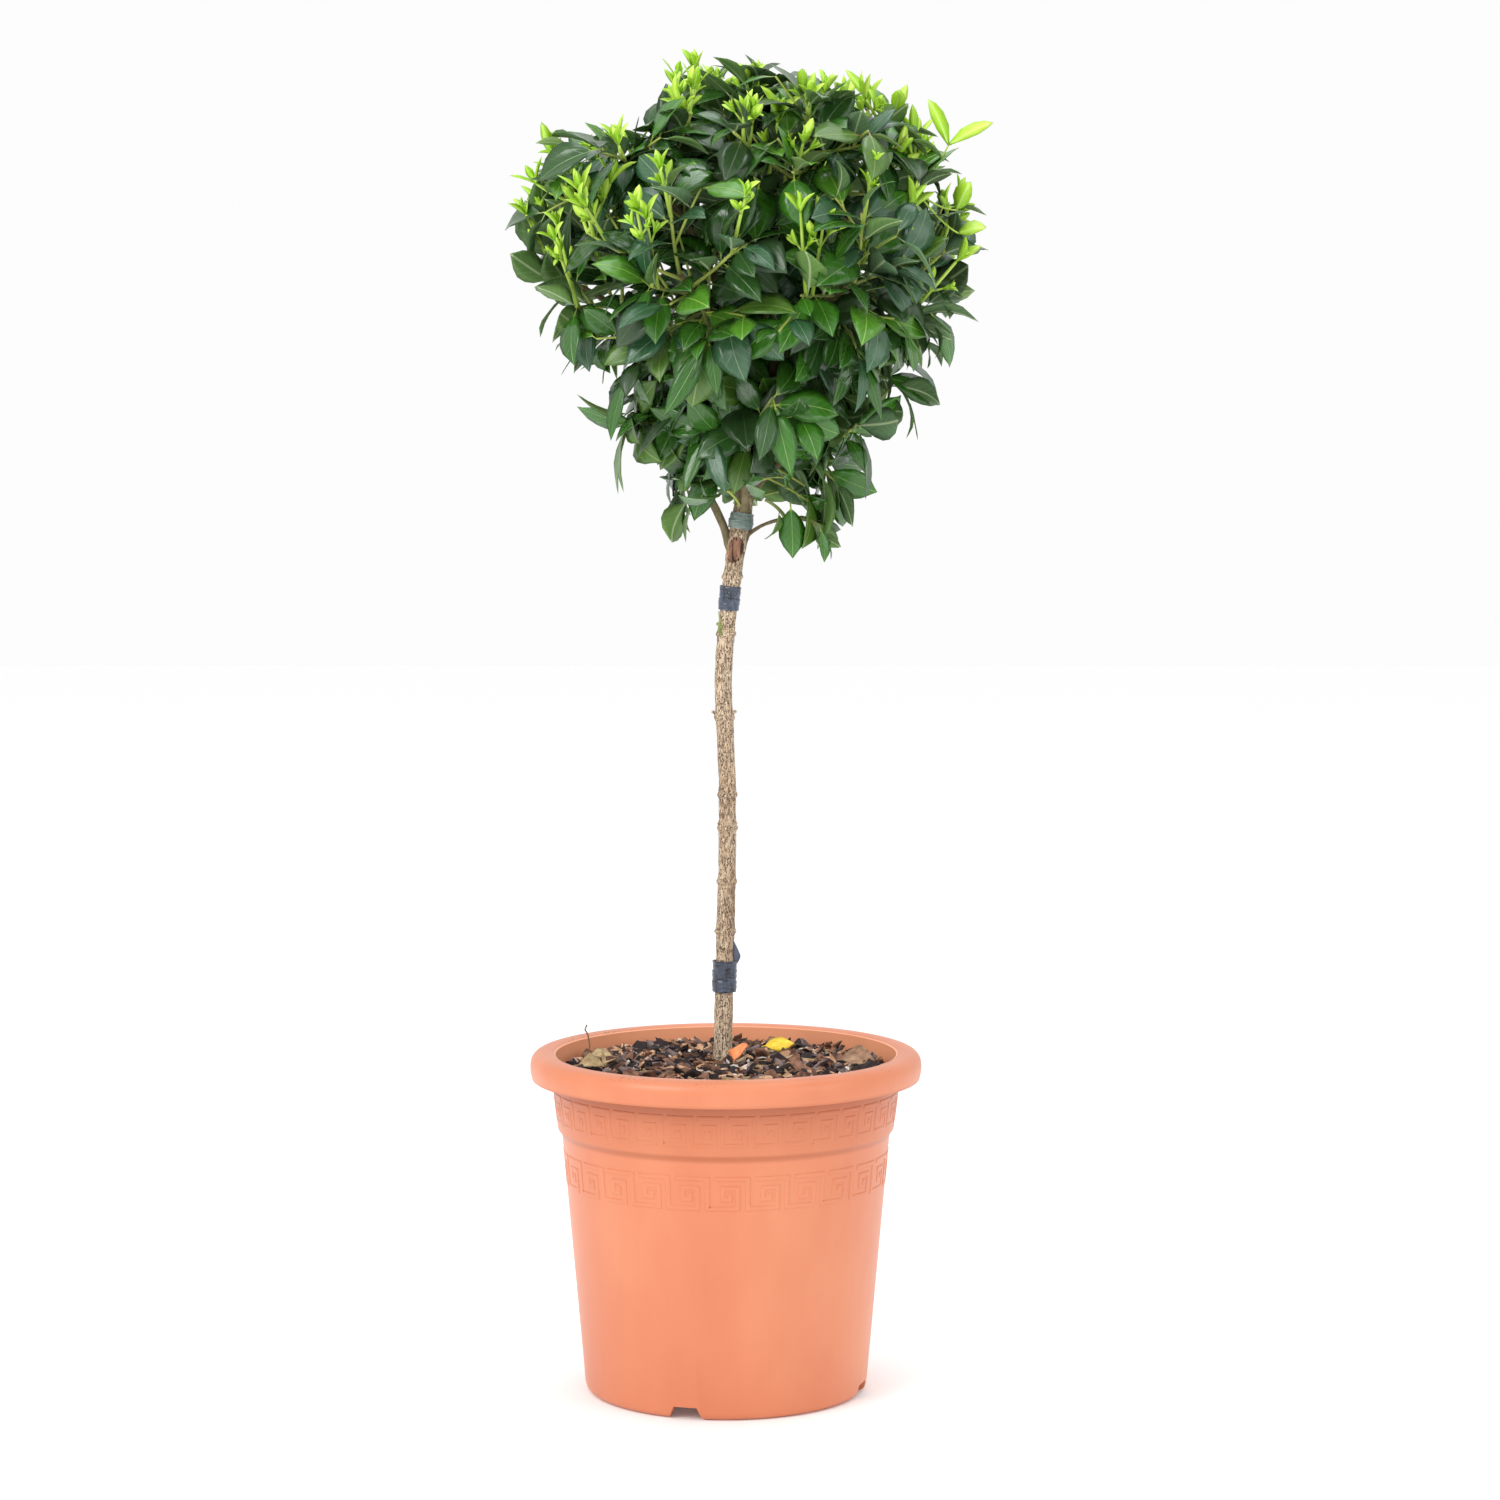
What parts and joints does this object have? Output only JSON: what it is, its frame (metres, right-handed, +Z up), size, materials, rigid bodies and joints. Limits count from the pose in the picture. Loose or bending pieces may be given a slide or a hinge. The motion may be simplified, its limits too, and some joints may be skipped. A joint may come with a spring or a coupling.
{
  "type": "potted laurustinus standard",
  "caption": "Evergreen laurustinus grown as a standard: a round, loose head of glossy leaves on one clear stem, in a round terracotta-coloured plastic pot.",
  "frame": {"origin": "Middle of the pot's flat underside, on the ground and on the pot's axis", "axes": "+Z up along the pot and stem; -Y is the front, with +X to the right as the front is looked at"},
  "size_m": [0.4813, 0.4662, 1.3544],
  "materials": {
    "pot_plastic": "satin",
    "bark_mulch": "matte",
    "stem_bark": "matte",
    "tie_tape": "satin",
    "stem_tape": "satin",
    "bough_bark": "matte",
    "foliage": "satin"
  },
  "bodies": {
    "root": {"pot": "pot_plastic", "soil": "bark_mulch", "trunk": "stem_bark", "tie_lower": "tie_tape", "tie_upper": "tie_tape", "stem_band": "stem_tape", "bough_low_1": "bough_bark", "foliage_low_1": "foliage", "bough_low_2": "bough_bark", "foliage_low_2": "foliage", "bough_low_3": "bough_bark", "foliage_low_3": "foliage", "bough_low_4": "bough_bark", "foliage_low_4": "foliage", "bough_mid_1": "bough_bark", "foliage_mid_1": "foliage", "bough_mid_2": "bough_bark", "foliage_mid_2": "foliage", "bough_mid_3": "bough_bark", "foliage_mid_3": "foliage", "bough_mid_4": "bough_bark", "foliage_mid_4": "foliage", "bough_mid_5": "bough_bark", "foliage_mid_5": "foliage", "bough_mid_6": "bough_bark", "foliage_mid_6": "foliage", "bough_upper_1": "bough_bark", "foliage_upper_1": "foliage", "bough_upper_2": "bough_bark", "foliage_upper_2": "foliage", "bough_upper_3": "bough_bark", "foliage_upper_3": "foliage", "foliage_top": "foliage", "bough_side_shoot": "bough_bark", "foliage_side_shoot": "foliage"}
  },
  "joints": []
}
